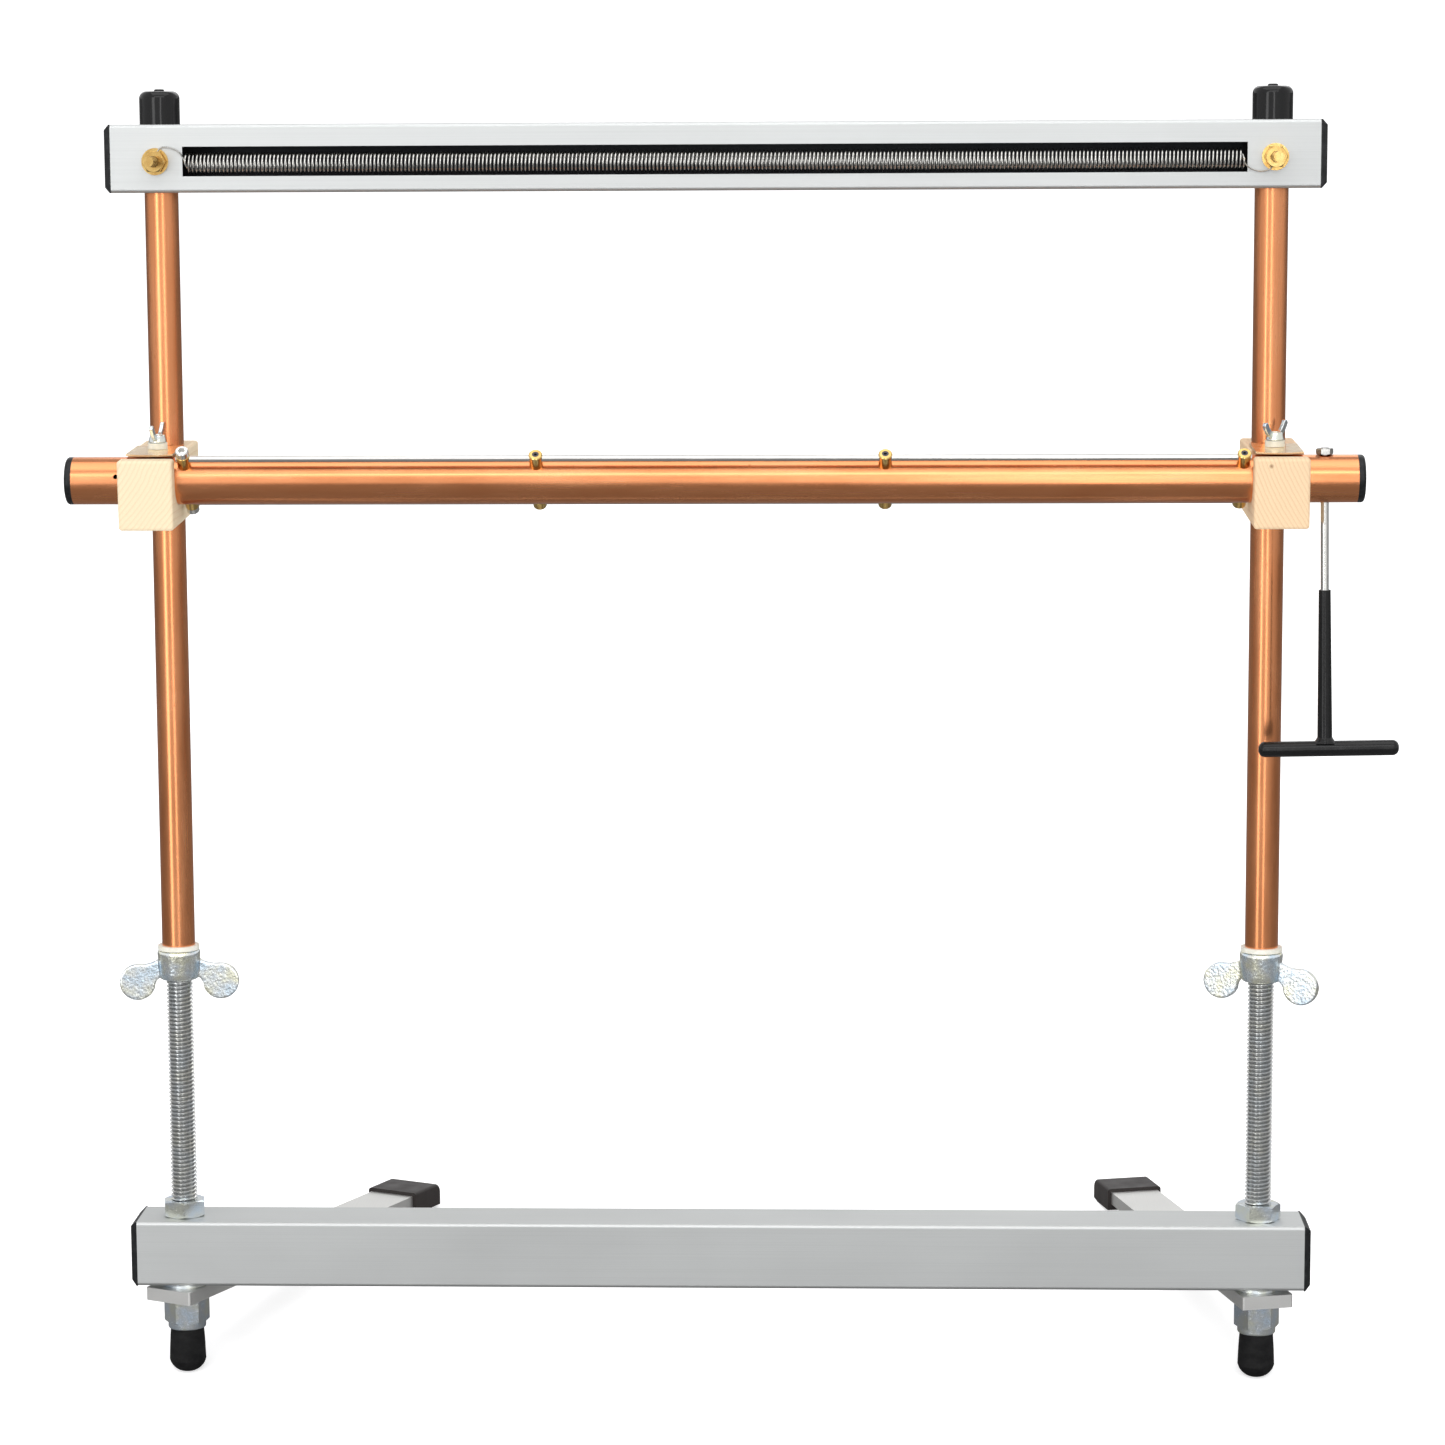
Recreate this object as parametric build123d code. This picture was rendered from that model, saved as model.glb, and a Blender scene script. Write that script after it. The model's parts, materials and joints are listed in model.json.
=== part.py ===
from build123d import *
import math
import os

# Tabletop tapestry loom. Millimetres.
# Every piece is built in the loom's own frame: X to the right, Z up along the side pipes,
# Y to the back, origin at the middle of the bottom beam. The whole loom is then leaned back
# and set on the floor, because it stands on two front feet and two rear legs.

# ---- driving dimensions: the frame ----
LEAN_BACK = 9.6                 # degrees the pipes lean back from the vertical
BEAM_SIDE = 31.75               # square aluminium tube
BEAM_WALL = 3.175
BEAM_LENGTH = 564.3
BEAM_EDGE_RADIUS = 1.6
BEAM_SPACING = 526.8            # bottom beam centre to top beam centre
PIPE_SPACING = 522.1            # left pipe axis to right pipe axis
PIPE_DIAMETER = 15.875
PIPE_BORE = 14.45
PIPE_FOOT = 150.0               # height of the pipes' lower ends
PIPE_STANDOUT = 13.9            # pipe above the top beam
SLOT_LENGTH = 496.5
SLOT_HEIGHT = 13.8
SLOT_DROP = 1.35                # slot centre below the top beam's centre
COIL_DIAMETER = 10.3
COIL_WIRE = 1.0
COIL_DROP = 0.9                 # coil axis below the slot's centre
COIL_RECESS = 2.9               # coil axis behind the beam's front face
PLUG_FLANGE_THICKNESS = 3.2
PLUG_FLANGE_CHAMFER = 2.6
PLUG_STEM_LENGTH = 12.0
PLUG_STEM_WALL = 2.0
PIPE_CAP_DIAMETER = 18.9
PIPE_CAP_CROWN = 1.6            # cap above the pipe's end
PIPE_CAP_ROUNDING = 3.4
PIPE_CAP_NUB_DIAMETER = 4.8
PIPE_CAP_NUB_HEIGHT = 1.0
BEAM_SCREW_DIAMETER = 5.4
BEAM_SCREW_END_DIAMETER = 5.0   # free end in front of the nut
BEAM_SCREW_HOLE = 5.6
BEAM_SCREW_STANDOUT = 20.0      # screw in front of the top beam
BEAM_SCREW_HEAD_DIAMETER = 9.2
BEAM_SCREW_HEAD_HEIGHT = 3.4
BEAM_WASHER_DIAMETER = 12.6
BEAM_WASHER_THICKNESS = 1.1
BEAM_NUT_ACROSS_FLATS = 9.5
BEAM_NUT_HEIGHT = 4.0

# ---- driving dimensions: rods, nuts, feet and legs ----
ROD_DIAMETER = 12.7
ROD_TOP = 290.0                 # upper end of each rod, inside its pipe
NUT_ACROSS_FLATS = 19.05
BEAM_TOP_NUT_HEIGHT = 7.94     # thin nut on each rod above the bottom beam
BEAM_TOP_NUT_TURN = {"left": 39.6, "right": 3.4}        # degrees about the rod
LOCK_NUT_TURN = {"left": 9.6, "right": 3.4}
WING_NUT_HUB = 21.0
WING_NUT_HUB_HEIGHT = 14.5
WING_NUT_HUB_TAPER = 1.2        # hub narrower by this much in radius at its lower end
WING_RADIUS = 8.9
WING_THICKNESS = 4.0
WING_DROP = 1.0                 # middle of a wing's round end below the hub
WING_REACH = 20.2               # rod axis to the middle of a wing's round end
WING_TURN = {"left": 6.3, "right": -25.0}       # degrees about the rod
PIPE_WASHER_DIAMETER = 19.9
PIPE_WASHER_THICKNESS = 2.2
LEG_WIDTH = 25.4
LEG_THICKNESS = 6.35
LEG_REACH = 216.6               # rod axis to the rear end of the bar
LEG_NOSE = 16.0                 # rod axis to the front end of the bar
LEG_SPLAY = {"left": 25.0, "right": 14.2}       # degrees inwards from straight back
LEG_WASHER_DIAMETER = 25.0
LEG_WASHER_THICKNESS = 2.4
LEG_CAP_LENGTH = 26.0
LEG_CAP_WALL = 1.9
LEG_CAP_SOLE = 3.2
LEG_CAP_HEEL_RADIUS = 5.0       # across the rear end, on top
LEG_CAP_EDGE_RADIUS = 1.5
LOCK_HEX_HEIGHT = 12.6
LOCK_COLLAR_HEIGHT = 3.2
LOCK_COLLAR_DIAMETER = 18.4
LOCK_INSERT_DIAMETER = 15.6
FOOT_DIAMETER = 18.4
FOOT_SOLE = 4.5                 # rubber below the end of each rod
FOOT_BOTTOM = -62.4             # lowest point of a foot before it flattens on the floor
FLOOR_DROP = 61.0               # floor below the bottom beam's centre, once leaned back

# ---- driving dimensions: the shedding bar and its blocks ----
SHED_TUBE_DIAMETER = 22.225
SHED_TUBE_BORE = 19.9
SHED_TUBE_LENGTH = 596.4
SHED_TUBE_FORWARD = 40.0        # tube axis in front of the pipes
SHED_TUBE_HEIGHT = 377.9
SHED_CAP_THICKNESS = 3.3
BLOCK_WIDTH = 25.6
BLOCK_HEIGHT = 32.7
BLOCK_FRONT = 59.5              # block front face before the pipe's axis
BLOCK_REAR = 20.5
BLOCK_OUTSET = 1.15             # block centre outside the pipe's axis
BLOCK_TOP = 391.6               # block top plane at the pipe's axis
BLOCK_TILT = 3.0                # degrees the blocks sag towards the front
BLOCK_EDGE_RADIUS = 1.5
RUNNING_CLEARANCE = 0.07        # radial
CLAMP_SCREW_FORWARD = 20.0
CLAMP_SCREW_DIAMETER = 4.0
CLAMP_SCREW_HEAD_DIAMETER = 8.8
CLAMP_SCREW_HEAD_HEIGHT = 2.2
CLAMP_NUT_HUB_HEIGHT = 3.8
CLAMP_NUT_HEIGHT = 9.0          # hub foot to wing tips
STRAP_THICKNESS = 0.8
STRAP_WIDTH = 22.0
STRAP_BOW = 0.5                 # edges of the strap above its middle
SPACER_DIAMETER = 9.3
SPACER_HEIGHT = 2.8
CLAMP_NUT_TURN = {"left": 82.0, "right": 53.0}      # degrees about the screw
POST_DIAMETER = 6.35
POST_HALF_LENGTH = 18.2         # tube axis to a post's end
POST_PLACES = (-245.2, -81.3, 80.3, 245.2)
POST_ANGLE = 45.0               # degrees from level, upper end to the front
HEDDLE_ROD_DIAMETER = 3.175
HEDDLE_ROD_OFFSET = 15.2        # heddle rod axis from the tube's axis
HEDDLE_ROD_LENGTH = 497.6
POST_TAPPING_RADIUS = 1.6
CAP_SCREW_HEAD_DIAMETER = 6.0
CAP_SCREW_HEAD_HEIGHT = 3.2
SPARE_HOLE_DIAMETER = 2.2
SPARE_HOLE_OUTSET = -277.0      # from the middle of the tube
SPARE_HOLE_RISE = 14.0          # degrees, front end upwards
HANDLE_PLACE = 283.4
HANDLE_TILT = 0.9               # degrees, lower end outwards
HANDLE_SHAFT_DIAMETER = 3.8
HANDLE_NUT_ACROSS_FLATS = 7.0
HANDLE_NUT_HEIGHT = 2.8
GRIP_TOP = 51.8                 # below the tube's axis
GRIP_STEM_DIAMETERS = (5.6, 7.0)        # at its top and at the bar
GRIP_BAR_CENTRE = 126.2
GRIP_BAR_LENGTH = 65.2
GRIP_BAR_DIAMETER = 7.3
GRIP_BAR_SHIFT = 1.8            # bar centre outwards from the stem

BEAM_HALF = BEAM_SIDE / 2
PIPE_X = PIPE_SPACING / 2
SIDES = {"left": -1, "right": 1}
PIPE_TOP = BEAM_SPACING + BEAM_HALF + PIPE_STANDOUT
SLOT_Z = BEAM_SPACING - SLOT_DROP
LEG_TOP = -BEAM_HALF - LEG_WASHER_THICKNESS - 0.05
LEG_BOTTOM = LEG_TOP - LEG_THICKNESS
LOCK_TOP = LEG_BOTTOM - 0.05
LOCK_HEX_BOTTOM = LOCK_TOP - LOCK_HEX_HEIGHT
LOCK_BOTTOM = LOCK_HEX_BOTTOM - LOCK_COLLAR_HEIGHT
TUBE_PLACE = Pos(0, -SHED_TUBE_FORWARD, SHED_TUBE_HEIGHT)
BLOCK_X = PIPE_X + BLOCK_OUTSET
BEAM_NUT_BACK = -BEAM_HALF - BEAM_WASHER_THICKNESS - COIL_WIRE
BEAM_NUT_FRONT = BEAM_NUT_BACK - BEAM_NUT_HEIGHT
BEAM_SCREW_FRONT = -BEAM_HALF - BEAM_SCREW_STANDOUT
BEAM_SCREW_BACK = BEAM_HALF + BEAM_WASHER_THICKNESS
SPACER_BASE = STRAP_THICKNESS + 0.16
CLAMP_NUT_BASE = SPACER_BASE + SPACER_HEIGHT + 0.05


# ---- helpers ----
def both(make):
    """The same piece at the left and the right pipe axis, as two solids."""
    return Compound(children=[Pos(side * PIPE_X, 0, 0) * make() for side in SIDES.values()])


def rod_along_z(diameter, low, high):
    return Pos(0, 0, (low + high) / 2) * Cylinder(diameter / 2, high - low)


def rod_along_y(diameter, front, back):
    return Pos(0, (front + back) / 2, 0) * Rot(90, 0, 0) * Cylinder(diameter / 2, back - front)


def rod_along_x(diameter, length):
    return Rot(0, 90, 0) * Cylinder(diameter / 2, length)


def ring(outer, inner, height):
    """A washer standing on its own lower face."""
    return Pos(0, 0, height / 2) * (Cylinder(outer / 2, height) - Cylinder(inner / 2, height))


def hex_nut(across_flats, height, bore):
    """A hexagon with both faces' corners bevelled, standing on its lower face."""
    flats = extrude(RegularPolygon(across_flats / 2, 6, major_radius=False), height)
    corner = across_flats / math.sqrt(3)
    bevel = Pos(0, 0, height / 2) * chamfer(
        Cylinder(corner, height).edges().filter_by(GeomType.CIRCLE),
        0.045 * across_flats, 0.085 * across_flats,
    )
    return (flats & bevel) - rod_along_z(bore, -1, height + 1)


# ---- the beams ----
def square_tube():
    inside = BEAM_SIDE - 2 * BEAM_WALL
    section = RectangleRounded(BEAM_SIDE, BEAM_SIDE, BEAM_EDGE_RADIUS)
    section -= RectangleRounded(inside, inside, BEAM_EDGE_RADIUS / 2)
    return Rot(0, 90, 0) * extrude(section, BEAM_LENGTH / 2, both=True)


def bottom_beam():
    beam = square_tube()
    for side in SIDES.values():
        beam -= Pos(side * PIPE_X, 0, 0) * Cylinder(ROD_DIAMETER / 2 + 0.1, 2 * BEAM_SIDE)
    return beam


def top_beam():
    beam = square_tube()
    beam -= Pos(0, -BEAM_HALF, -SLOT_DROP) * Box(SLOT_LENGTH, 3 * BEAM_WALL, SLOT_HEIGHT)
    for side in SIDES.values():
        beam -= Pos(side * PIPE_X, 0, 0) * Cylinder(PIPE_DIAMETER / 2 + 0.05, 2 * BEAM_SIDE)
        beam -= Pos(side * PIPE_X, 0, -SLOT_DROP) * rod_along_y(BEAM_SCREW_HOLE, -BEAM_SIDE, BEAM_SIDE)
    return Pos(0, 0, BEAM_SPACING) * beam


def end_plugs(height):
    """Two chamfered plastic plugs, one for each end of a beam."""
    stem_side = BEAM_SIDE - 2 * BEAM_WALL - 0.2
    stem_inside = stem_side - 2 * PLUG_STEM_WALL
    flange = Box(BEAM_SIDE, BEAM_SIDE, PLUG_FLANGE_THICKNESS)
    flange = chamfer(flange.edges().group_by(Axis.Z)[-1], PLUG_FLANGE_CHAMFER)
    flange = Pos(0, 0, PLUG_FLANGE_THICKNESS / 2) * flange
    stem = Box(stem_side, stem_side, PLUG_STEM_LENGTH) - Box(stem_inside, stem_inside, PLUG_STEM_LENGTH)
    plug = flange + Pos(0, 0, -PLUG_STEM_LENGTH / 2) * stem
    places = [
        Pos(side * BEAM_LENGTH / 2, 0, height) * Rot(0, side * 90, 0) for side in SIDES.values()
    ]
    return Compound(children=[place * plug for place in places])


# ---- rods, nuts, feet ----
def threaded_rod(side):
    rod = rod_along_z(ROD_DIAMETER, FOOT_BOTTOM + FOOT_SOLE, ROD_TOP)
    rod = chamfer(rod.edges().filter_by(GeomType.CIRCLE), 1.2)
    return Pos(SIDES[side] * PIPE_X, 0, 0) * rod


def rod_hex_nuts():
    nut = hex_nut(NUT_ACROSS_FLATS, BEAM_TOP_NUT_HEIGHT, ROD_DIAMETER)
    return Compound(children=[
        Pos(SIDES[side] * PIPE_X, 0, BEAM_HALF) * Rot(0, 0, turn) * nut
        for side, turn in BEAM_TOP_NUT_TURN.items()
    ])


def leg_washers():
    washer = ring(LEG_WASHER_DIAMETER, ROD_DIAMETER, LEG_WASHER_THICKNESS)
    return both(lambda: Pos(0, 0, -BEAM_HALF - LEG_WASHER_THICKNESS) * washer)


def lock_nuts():
    """Hexagon on top, round collar below, with a groove for the nylon ring."""
    hexagon = Pos(0, 0, LOCK_HEX_BOTTOM) * hex_nut(NUT_ACROSS_FLATS, LOCK_HEX_HEIGHT, ROD_DIAMETER)
    collar = Pos(0, 0, LOCK_BOTTOM) * ring(LOCK_COLLAR_DIAMETER, LOCK_INSERT_DIAMETER, LOCK_COLLAR_HEIGHT)
    collar = fillet(collar.edges().group_by(Axis.Z)[0].sort_by(SortBy.RADIUS)[-1], 1.0)
    nut = hexagon + collar
    return Compound(children=[
        Pos(SIDES[side] * PIPE_X, 0, 0) * Rot(0, 0, turn) * nut for side, turn in LOCK_NUT_TURN.items()
    ])


def lock_nut_inserts():
    insert = ring(LOCK_INSERT_DIAMETER, ROD_DIAMETER, LOCK_COLLAR_HEIGHT - 0.6)
    return both(lambda: Pos(0, 0, LOCK_BOTTOM + 0.6) * insert)


def rubber_feet():
    """A slightly barrelled rubber foot with a domed end, pushed on to each rod."""
    top = LOCK_BOTTOM - 0.1
    radius = FOOT_DIAMETER / 2
    outline = Polyline((0, FOOT_BOTTOM), (0, top), (radius - 1.1, top))
    side = ThreePointArc(
        (radius - 1.1, top), (radius - 0.5, (top + FOOT_BOTTOM) / 2 + 1), (radius - 0.3, FOOT_BOTTOM + 6)
    )
    end = ThreePointArc(
        (radius - 0.3, FOOT_BOTTOM + 6), (radius - 3.2, FOOT_BOTTOM + 1.5), (0, FOOT_BOTTOM)
    )
    profile = make_face([*outline.edges(), *side.edges(), *end.edges()])
    foot = revolve(Plane.XZ * profile, Axis.Z)
    return both(lambda: foot - rod_along_z(ROD_DIAMETER, FOOT_BOTTOM + FOOT_SOLE, 0))


# ---- legs ----
def leg_place(side):
    """A leg points straight back along +Y before it is splayed about its rod."""
    sign = SIDES[side]
    return Pos(sign * PIPE_X, 0, 0) * Rot(0, 0, sign * LEG_SPLAY[side])


def leg_bar(side):
    length = LEG_REACH + LEG_NOSE
    bar = Pos(0, (LEG_REACH - LEG_NOSE) / 2, LEG_TOP - LEG_THICKNESS / 2)
    bar *= Box(LEG_WIDTH, length, LEG_THICKNESS)
    bar = fillet(bar.edges().filter_by(Axis.Z), 1.0)
    bar -= rod_along_z(ROD_DIAMETER + 0.1, LEG_BOTTOM - 1, LEG_TOP + 1)
    return leg_place(side) * bar


def leg_cap(side):
    """A dipped vinyl cap over the rear end of the bar."""
    rear = LEG_REACH + LEG_CAP_WALL
    low = LEG_BOTTOM - LEG_CAP_SOLE
    high = LEG_TOP + LEG_CAP_WALL
    width = LEG_WIDTH + 2 * LEG_CAP_WALL
    cap = Pos(0, rear - LEG_CAP_LENGTH / 2, (low + high) / 2) * Box(width, LEG_CAP_LENGTH, high - low)
    cap = fillet(cap.faces().sort_by(Axis.Z)[-1].edges().group_by(Axis.Y)[-1], LEG_CAP_HEEL_RADIUS)
    cap = fillet(cap.edges().filter_by(Axis.Z).group_by(Axis.Y)[-1], LEG_CAP_EDGE_RADIUS)
    bar_end = Pos(0, LEG_REACH - LEG_CAP_LENGTH, LEG_TOP - LEG_THICKNESS / 2)
    cap -= bar_end * Box(LEG_WIDTH, 2 * LEG_CAP_LENGTH, LEG_THICKNESS)
    return leg_place(side) * cap


# ---- upper frame ----
def side_pipe(side):
    pipe = rod_along_z(PIPE_DIAMETER, PIPE_FOOT, PIPE_TOP) - rod_along_z(PIPE_BORE, 0, 2 * PIPE_TOP)
    pipe -= Pos(0, 0, SLOT_Z) * rod_along_y(BEAM_SCREW_HOLE, -BEAM_SIDE, BEAM_SIDE)
    return Pos(SIDES[side] * PIPE_X, 0, 0) * pipe


def pipe_caps():
    base = BEAM_SPACING + BEAM_HALF
    top = PIPE_TOP + PIPE_CAP_CROWN
    cap = rod_along_z(PIPE_CAP_DIAMETER, base, top)
    cap = fillet(cap.edges().group_by(Axis.Z)[-1], PIPE_CAP_ROUNDING)
    nub = rod_along_z(PIPE_CAP_NUB_DIAMETER, top - 1, top + PIPE_CAP_NUB_HEIGHT)
    cap += fillet(nub.edges().group_by(Axis.Z)[-1], 0.7)
    cap -= rod_along_z(PIPE_DIAMETER, base - 1, PIPE_TOP)
    return both(lambda: cap)


def beam_screws():
    """Brass pan-head screws from the back, through beam and pipe, with a slimmer free end."""
    shank = rod_along_y(BEAM_SCREW_DIAMETER, BEAM_NUT_FRONT, BEAM_SCREW_BACK)
    shank += rod_along_y(BEAM_SCREW_END_DIAMETER, BEAM_SCREW_FRONT, BEAM_NUT_FRONT)
    head_end = BEAM_SCREW_BACK + BEAM_SCREW_HEAD_HEIGHT
    head = rod_along_y(BEAM_SCREW_HEAD_DIAMETER, BEAM_SCREW_BACK, head_end)
    head = fillet(head.edges().group_by(Axis.Y)[-1], 1.4)
    head -= Pos(0, head_end, 0) * Box(8.0, 2.4, 1.2)
    return both(lambda: Pos(0, 0, SLOT_Z) * (shank + head))


def beam_screw_nuts():
    nut = hex_nut(BEAM_NUT_ACROSS_FLATS, BEAM_NUT_HEIGHT, BEAM_SCREW_DIAMETER)
    return both(lambda: Pos(0, BEAM_NUT_BACK, SLOT_Z) * Rot(90, 0, 0) * nut)


def beam_screw_washers():
    washer = Rot(90, 0, 0) * ring(BEAM_WASHER_DIAMETER, BEAM_SCREW_DIAMETER, BEAM_WASHER_THICKNESS)
    front_and_back = [Pos(0, -BEAM_HALF, SLOT_Z), Pos(0, BEAM_SCREW_BACK, SLOT_Z)]
    return Compound(children=[
        Pos(side * PIPE_X, 0, 0) * place * washer
        for side in SIDES.values() for place in front_and_back
    ])


def warp_coil():
    """The warp-spacing coil as a plain sleeve, with a wire from each end to its screw."""
    coil_z = SLOT_Z - COIL_DROP
    coil_y = -BEAM_HALF + COIL_RECESS
    half = SLOT_LENGTH / 2 - 1.5
    bore = COIL_DIAMETER - 2 * COIL_WIRE
    sleeve = rod_along_x(COIL_DIAMETER, 2 * half) - rod_along_x(bore, 2 * half + 2)
    coil = Pos(0, coil_y, coil_z) * sleeve
    hook_y = -BEAM_HALF - BEAM_WASHER_THICKNESS - COIL_WIRE / 2
    beside_screw = (BEAM_SCREW_DIAMETER + COIL_WIRE) / 2 + 0.05
    for side, rise in ((-1, 1), (1, -1)):
        # the wire leaves the front of the coil and passes one side of the screw
        start = (side * (half - 1), coil_y - 3.9, coil_z + rise * 2.0)
        rim = (side * (half + 4.0), hook_y, coil_z + rise * 4.2)
        end = (side * (PIPE_X + 1.0), hook_y, SLOT_Z + rise * beside_screw)
        wire_path = Polyline(start, rim, end)
        section = Plane(origin=start, z_dir=wire_path % 0) * Circle(COIL_WIRE / 2)
        coil += sweep(section, path=wire_path, transition=Transition.ROUND)
    return coil


def pipe_washers():
    washer = ring(PIPE_WASHER_DIAMETER, ROD_DIAMETER + 0.7, PIPE_WASHER_THICKNESS)
    return both(lambda: Pos(0, 0, PIPE_FOOT - PIPE_WASHER_THICKNESS) * washer)


def big_wing_nut(side):
    """Hub upwards against the pipe's washer, with both wings drooping below it."""
    top = PIPE_FOOT - PIPE_WASHER_THICKNESS - 0.1
    bottom = top - WING_NUT_HUB_HEIGHT
    radius = WING_NUT_HUB / 2
    hub = Pos(0, 0, (top + bottom) / 2) * Cone(radius - WING_NUT_HUB_TAPER, radius, top - bottom)
    wing_z = bottom - WING_DROP
    for hand in (-1, 1):
        disc = Pos(hand * WING_REACH, wing_z) * Circle(WING_RADIUS)
        root = Line((hand * 6.0, top - 3.0), (hand * 6.0, bottom + 1.0))
        outline = make_hull([*disc.edges(), *root.edges()])
        wing = extrude(Plane.XZ * outline, WING_THICKNESS / 2, both=True)
        hub += chamfer(wing.faces().filter_by(Axis.Y).edges(), 1.0)
    hub -= rod_along_z(ROD_DIAMETER + 0.1, bottom - 20, top + 1)
    place = Pos(SIDES[side] * PIPE_X, 0, 0) * Rot(0, 0, WING_TURN[side])
    return place * hub


# ---- shedding bar carriage ----
def block_place(side):
    """Block frame: origin on the top plane at the pipe's axis, sagging to the front."""
    return Pos(SIDES[side] * BLOCK_X, 0, BLOCK_TOP) * Rot(BLOCK_TILT, 0, 0)


def clamp_block(side):
    depth = BLOCK_FRONT + BLOCK_REAR
    block = Box(BLOCK_WIDTH, depth, BLOCK_HEIGHT)
    block = fillet(block.edges(), BLOCK_EDGE_RADIUS)
    block = Pos(0, (BLOCK_REAR - BLOCK_FRONT) / 2, -BLOCK_HEIGHT / 2) * block
    block -= Pos(0, -CLAMP_SCREW_FORWARD, 0) * Cylinder(CLAMP_SCREW_DIAMETER / 2, 3 * BLOCK_HEIGHT)
    block = block_place(side) * block
    pipe_bore = PIPE_DIAMETER + 2 * RUNNING_CLEARANCE
    block -= Pos(SIDES[side] * PIPE_X, 0, BLOCK_TOP) * Cylinder(pipe_bore / 2, 4 * BLOCK_HEIGHT)
    groove = SHED_TUBE_DIAMETER + 2 * RUNNING_CLEARANCE
    saddle = rod_along_x(groove, 3 * BLOCK_WIDTH)
    saddle += Pos(0, 0, BLOCK_HEIGHT) * Box(3 * BLOCK_WIDTH, groove, 2 * BLOCK_HEIGHT)
    return block - Pos(SIDES[side] * BLOCK_X, 0, 0) * TUBE_PLACE * saddle


def hold_down_straps():
    """Thin sprung plates over the tube, bowed down in the middle by the clamp screw."""
    front = -SHED_TUBE_FORWARD - 4.5
    back = -11.0
    half = STRAP_WIDTH / 2
    raised = STRAP_BOW + STRAP_THICKNESS
    lower = ThreePointArc((-half, STRAP_BOW), (0, 0), (half, STRAP_BOW))
    upper = ThreePointArc((half, raised), (0, STRAP_THICKNESS), (-half, raised))
    ends = [Line(lower @ 1, upper @ 0), Line(upper @ 1, lower @ 0)]
    section = make_face([*lower.edges(), *upper.edges(), *ends[0].edges(), *ends[1].edges()])
    front_plane = Plane(origin=(0, front, 0), z_dir=(0, -1, 0), x_dir=(1, 0, 0))
    strap = extrude(front_plane * section, front - back)
    strap -= Pos(0, -CLAMP_SCREW_FORWARD, 0) * Cylinder(CLAMP_SCREW_DIAMETER / 2, 10)
    strap = Pos(0, 0, 0.05) * strap
    return Compound(children=[block_place(side) * strap for side in SIDES])


def clamp_screws():
    """Round-headed screws, head under the block, thread up through the wing nut."""
    screw_top = CLAMP_NUT_BASE + CLAMP_NUT_HUB_HEIGHT - 0.4
    shank = rod_along_z(CLAMP_SCREW_DIAMETER, -BLOCK_HEIGHT - 1, screw_top)
    head_end = -BLOCK_HEIGHT - CLAMP_SCREW_HEAD_HEIGHT
    head = rod_along_z(CLAMP_SCREW_HEAD_DIAMETER, head_end, -BLOCK_HEIGHT)
    head = fillet(head.edges().group_by(Axis.Z)[0], 1.2)
    screw = Pos(0, -CLAMP_SCREW_FORWARD, 0) * (shank + head)
    return Compound(children=[block_place(side) * screw for side in SIDES])


def clamp_spacers():
    spacer = ring(SPACER_DIAMETER, CLAMP_SCREW_DIAMETER, SPACER_HEIGHT)
    place = Pos(0, -CLAMP_SCREW_FORWARD, SPACER_BASE)
    return Compound(children=[block_place(side) * place * spacer for side in SIDES])


def clamp_wing_nut(side):
    """Small wing nut whose two flat wings rise in a V."""
    hub = Pos(0, 0, CLAMP_NUT_HUB_HEIGHT / 2) * Cone(4.3, 3.5, CLAMP_NUT_HUB_HEIGHT)
    for hand in (-1, 1):
        outline = Polygon(
            (hand * 2.6, 0.7), (hand * 5.0, 1.2), (hand * 10.0, CLAMP_NUT_HEIGHT - 1.6),
            (hand * 8.9, CLAMP_NUT_HEIGHT), (hand * 6.6, CLAMP_NUT_HEIGHT - 0.4),
            (hand * 2.6, CLAMP_NUT_HUB_HEIGHT), align=None,
        )
        hub += extrude(Plane.XZ * outline, 1.0, both=True)
    hub -= rod_along_z(CLAMP_SCREW_DIAMETER + 0.1, -1, 2 * CLAMP_NUT_HEIGHT)
    place = Pos(0, -CLAMP_SCREW_FORWARD, CLAMP_NUT_BASE) * Rot(0, 0, CLAMP_NUT_TURN[side])
    return block_place(side) * place * hub


# ---- shedding bar ----
def post_place(x):
    """Post frame: +Z runs out of the tube to the front and up."""
    return TUBE_PLACE * Pos(x, 0, 0) * Rot(90 - POST_ANGLE, 0, 0)


def handle_place():
    return TUBE_PLACE * Pos(HANDLE_PLACE, 0, 0) * Rot(0, -HANDLE_TILT, 0)


def shed_tube():
    tube = rod_along_x(SHED_TUBE_DIAMETER, SHED_TUBE_LENGTH) - rod_along_x(SHED_TUBE_BORE, 1000)
    tube = TUBE_PLACE * tube
    for x in POST_PLACES:
        tube -= post_place(x) * Cylinder(POST_DIAMETER / 2, 2 * SHED_TUBE_DIAMETER)
    tube -= handle_place() * Cylinder(HANDLE_SHAFT_DIAMETER / 2, 2 * SHED_TUBE_DIAMETER)
    spare_hole = rod_along_y(SPARE_HOLE_DIAMETER, -SHED_TUBE_DIAMETER, SHED_TUBE_DIAMETER)
    spare_hole = Rot(-SPARE_HOLE_RISE, 0, 0) * spare_hole
    return tube - TUBE_PLACE * Pos(SPARE_HOLE_OUTSET, 0, 0) * spare_hole


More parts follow.
